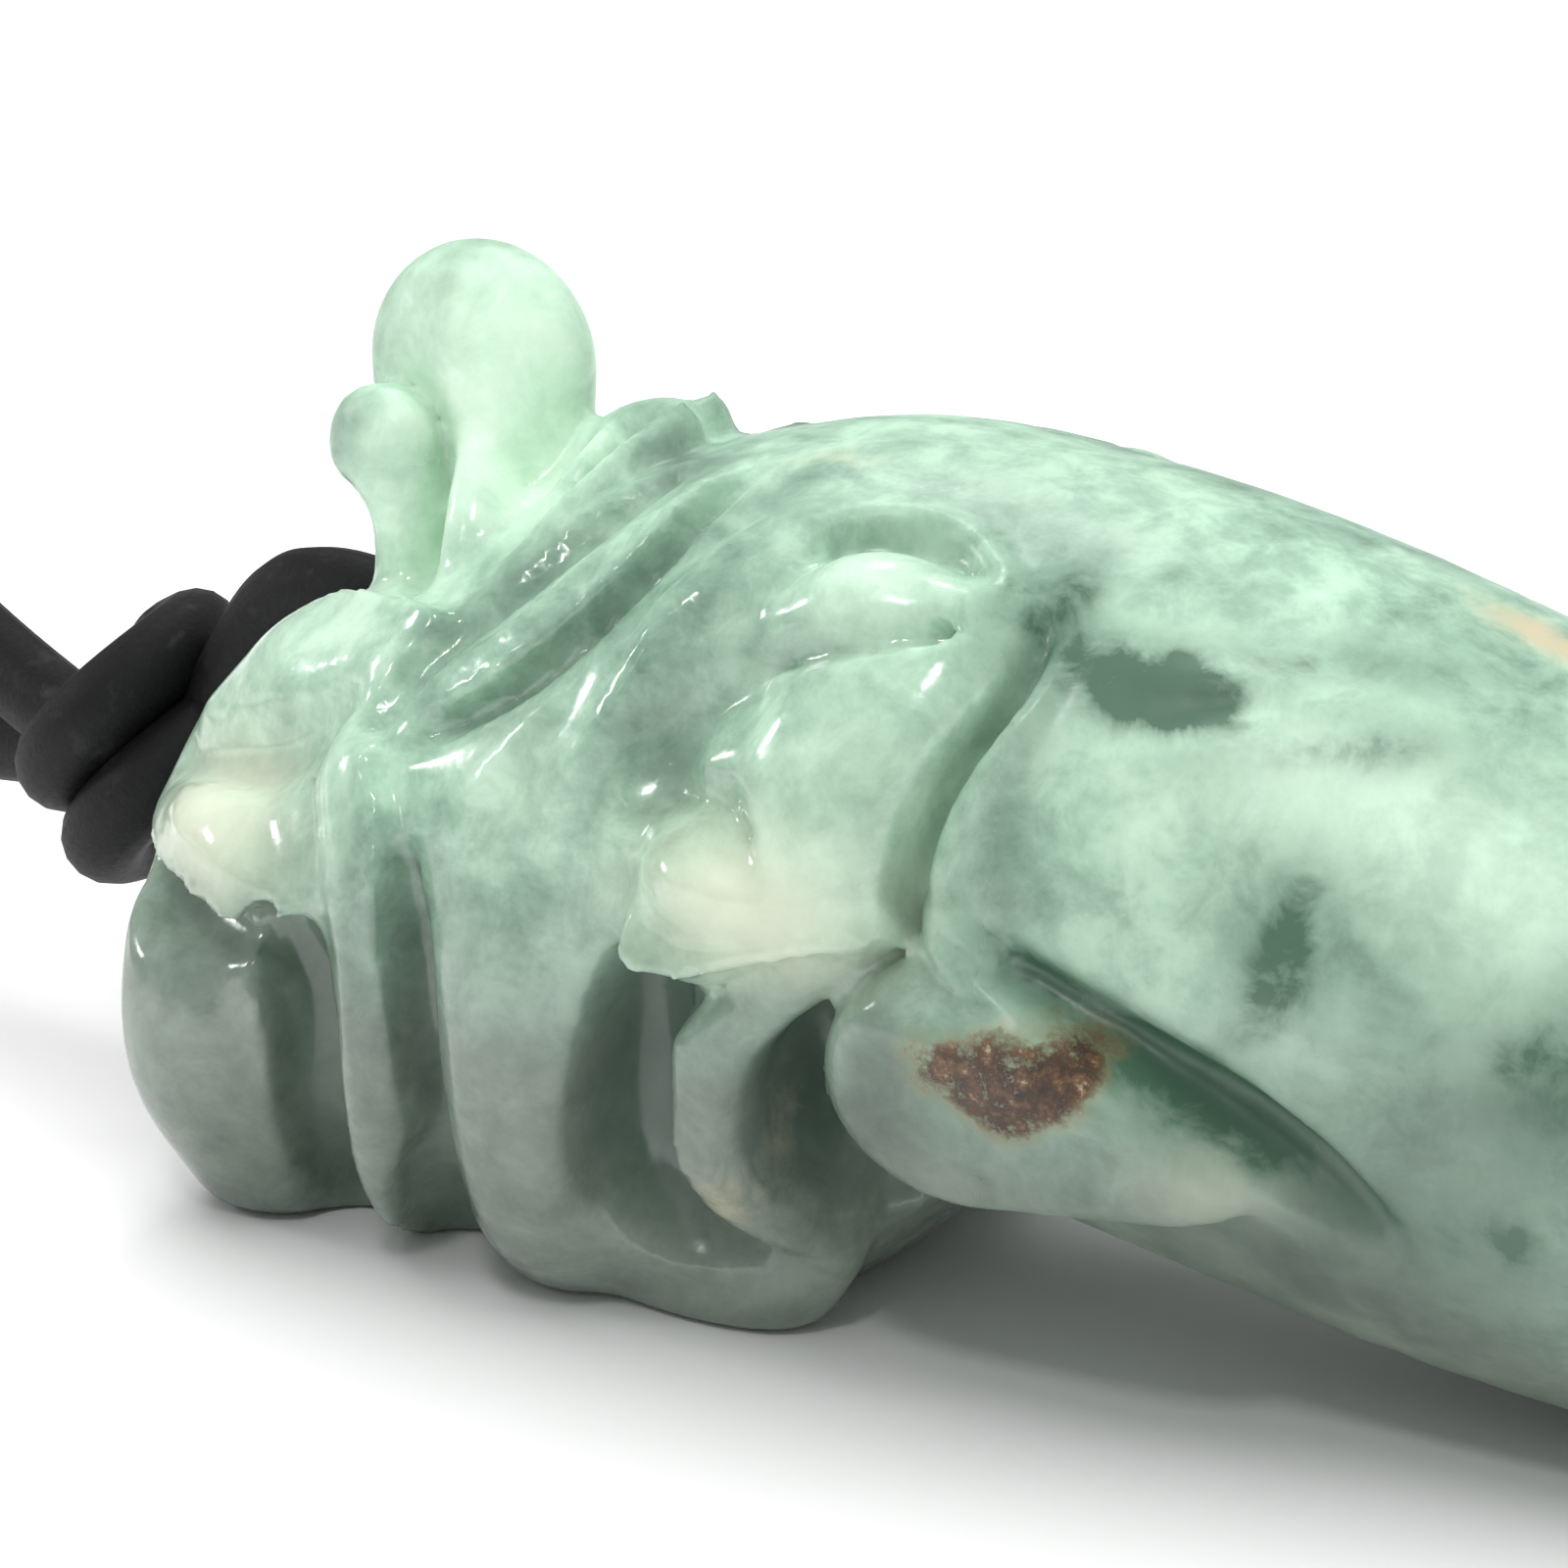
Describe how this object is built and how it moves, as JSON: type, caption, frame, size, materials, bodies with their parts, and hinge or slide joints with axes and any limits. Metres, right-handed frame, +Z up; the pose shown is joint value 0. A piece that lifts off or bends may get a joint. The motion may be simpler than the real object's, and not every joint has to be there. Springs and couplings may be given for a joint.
{
  "type": "dragon tooth pendant",
  "caption": "Pale green stone pendant carved as a tooth with a dragon's head at its root, tied on a black knotted neck cord.",
  "frame": {"origin": "on the surface that the pendant lies on, under the middle of the carved head", "axes": "+X from the head's muzzle to the tooth's point, +Z up from the surface that it lies on, Y = 0 the middle plane of the carving"},
  "size_m": [0.3142, 0.1385, 0.0219],
  "materials": {
    "stone": "polished",
    "cord": "matte waxed braid"
  },
  "bodies": {
    "root": {"carved_tooth": "stone", "cord_knot": "cord", "neck_cord": "cord"}
  },
  "joints": []
}
